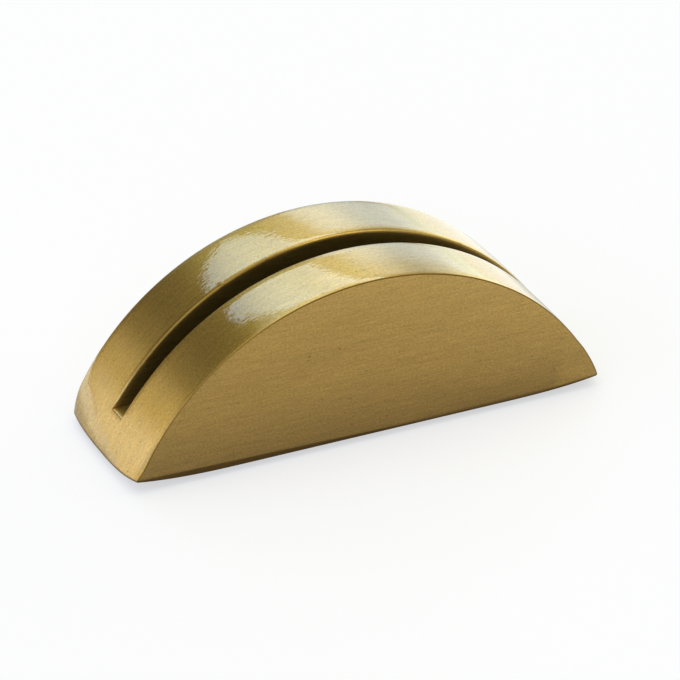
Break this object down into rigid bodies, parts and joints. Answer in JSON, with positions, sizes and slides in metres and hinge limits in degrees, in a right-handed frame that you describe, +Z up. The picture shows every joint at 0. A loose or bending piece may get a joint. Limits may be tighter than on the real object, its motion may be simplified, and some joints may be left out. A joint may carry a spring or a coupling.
{
  "type": "place card holder",
  "caption": "Half-moon place card holder: a solid brushed brass block with an arched top and a lengthwise slot that stands a card upright, on a thin non-slip pad.",
  "frame": {"origin": "centre of the pad's underside, on the surface the holder stands on", "axes": "+X along the card slot and the length, +Y through the thickness towards the back face, +Z up"},
  "size_m": [0.06, 0.0194, 0.0209],
  "materials": {
    "brushed_brass": "fine brushed satin under clear lacquer",
    "pad_rubber": "matt"
  },
  "bodies": {
    "root": {"holder_body": "brushed_brass", "base_pad": "pad_rubber"}
  },
  "joints": []
}
